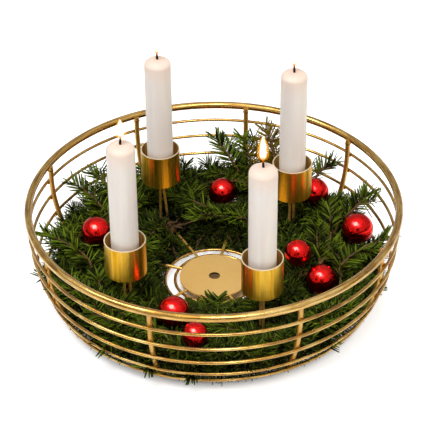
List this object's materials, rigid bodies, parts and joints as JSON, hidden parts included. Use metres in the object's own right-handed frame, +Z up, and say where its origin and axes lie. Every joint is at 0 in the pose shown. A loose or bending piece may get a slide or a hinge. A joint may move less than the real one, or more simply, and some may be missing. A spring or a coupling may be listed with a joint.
{
  "type": "advent candle holder",
  "caption": "Round gold wire bowl on bent wire feet, with upright candle cups on bent arms round a drilled centre plate, white candles, shiny balls and fir sprigs.",
  "frame": {"origin": "on the ground, under the middle of the bowl", "axes": "+Z up along the bowl's axis; +X to the right and +Y away from a viewer who faces the front, where the picture was taken"},
  "size_m": [0.3603, 0.3604, 0.2172],
  "materials": {
    "frame_gold": "satin gold lacquer on steel wire",
    "plate_gold": "finely grained satin gold lacquer",
    "cup_gold": "polished, with fine upright draw lines",
    "spike_steel": "plain",
    "wax": "smooth white wax",
    "wick_cord": "charred cotton",
    "ball_red": "mirror-like red lacquer",
    "fir_green": "fresh needles on brown twigs"
  },
  "bodies": {
    "holder": {"rim": "frame_gold", "rib_1": "frame_gold", "rib_2": "frame_gold", "rib_3": "frame_gold", "rib_4": "frame_gold", "rib_5": "frame_gold", "rib_6": "frame_gold", "rib_7": "frame_gold", "rib_8": "frame_gold", "side_ring_1": "frame_gold", "side_ring_2": "frame_gold", "side_ring_3": "frame_gold", "side_ring_4": "frame_gold", "side_ring_5": "frame_gold", "floor_ring_1": "frame_gold", "floor_ring_2": "frame_gold", "floor_ring_3": "frame_gold", "floor_ring_4": "frame_gold", "floor_ring_5": "frame_gold", "spoke_1": "frame_gold", "spoke_2": "frame_gold", "spoke_3": "frame_gold", "spoke_4": "frame_gold", "inner_arm_1": "frame_gold", "inner_arm_2": "frame_gold", "inner_arm_3": "frame_gold", "inner_arm_4": "frame_gold", "outer_arm_1": "frame_gold", "outer_arm_2": "frame_gold", "outer_arm_3": "frame_gold", "outer_arm_4": "frame_gold", "centre_plate": "plate_gold", "candle_cup_1": "cup_gold", "candle_cup_2": "cup_gold", "candle_cup_3": "cup_gold", "candle_cup_4": "cup_gold", "candle_spikes": "spike_steel", "fir_sprig_1": "fir_green", "fir_sprig_2": "fir_green", "fir_sprig_3": "fir_green", "fir_sprig_4": "fir_green", "fir_sprig_5": "fir_green", "fir_sprig_6": "fir_green", "fir_sprig_7": "fir_green"},
    "candle_1_lift": {"candle_1": "wax", "wick_1": "wick_cord"},
    "candle_2_lift": {"candle_2": "wax", "wick_2": "wick_cord"},
    "candle_3_lift": {"candle_3": "wax", "wick_3": "wick_cord"},
    "candle_4_lift": {"candle_4": "wax", "wick_4": "wick_cord"},
    "ball_1_lift": {"ball_1": "ball_red"},
    "ball_2_lift": {"ball_2": "ball_red"},
    "ball_3_lift": {"ball_3": "ball_red"},
    "ball_4_lift": {"ball_4": "ball_red"},
    "ball_5_lift": {"ball_5": "ball_red"},
    "ball_6_lift": {"ball_6": "ball_red"},
    "ball_7_lift": {"ball_7": "ball_red"},
    "ball_8_lift": {"ball_8": "ball_red"}
  },
  "joints": [
    {"name": "candle_1_out", "type": "slide", "parent": "holder", "child": "candle_1_lift", "axis": [0, 0, 1], "range_m": [0, 0.045]},
    {"name": "candle_2_out", "type": "slide", "parent": "holder", "child": "candle_2_lift", "axis": [0, 0, 1], "range_m": [0, 0.045]},
    {"name": "candle_3_out", "type": "slide", "parent": "holder", "child": "candle_3_lift", "axis": [0, 0, 1], "range_m": [0, 0.045]},
    {"name": "candle_4_out", "type": "slide", "parent": "holder", "child": "candle_4_lift", "axis": [0, 0, 1], "range_m": [0, 0.045]},
    {"name": "ball_1_out", "type": "slide", "parent": "holder", "child": "ball_1_lift", "axis": [0, 0, 1], "range_m": [0, 0.09]},
    {"name": "ball_2_out", "type": "slide", "parent": "holder", "child": "ball_2_lift", "axis": [0, 0, 1], "range_m": [0, 0.09]},
    {"name": "ball_3_out", "type": "slide", "parent": "holder", "child": "ball_3_lift", "axis": [0, 0, 1], "range_m": [0, 0.09]},
    {"name": "ball_4_out", "type": "slide", "parent": "holder", "child": "ball_4_lift", "axis": [0, 0, 1], "range_m": [0, 0.09]},
    {"name": "ball_5_out", "type": "slide", "parent": "holder", "child": "ball_5_lift", "axis": [0, 0, 1], "range_m": [0, 0.09]},
    {"name": "ball_6_out", "type": "slide", "parent": "holder", "child": "ball_6_lift", "axis": [0, 0, 1], "range_m": [0, 0.09]},
    {"name": "ball_7_out", "type": "slide", "parent": "holder", "child": "ball_7_lift", "axis": [0, 0, 1], "range_m": [0, 0.09]},
    {"name": "ball_8_out", "type": "slide", "parent": "holder", "child": "ball_8_lift", "axis": [0, 0, 1], "range_m": [0, 0.09]}
  ]
}
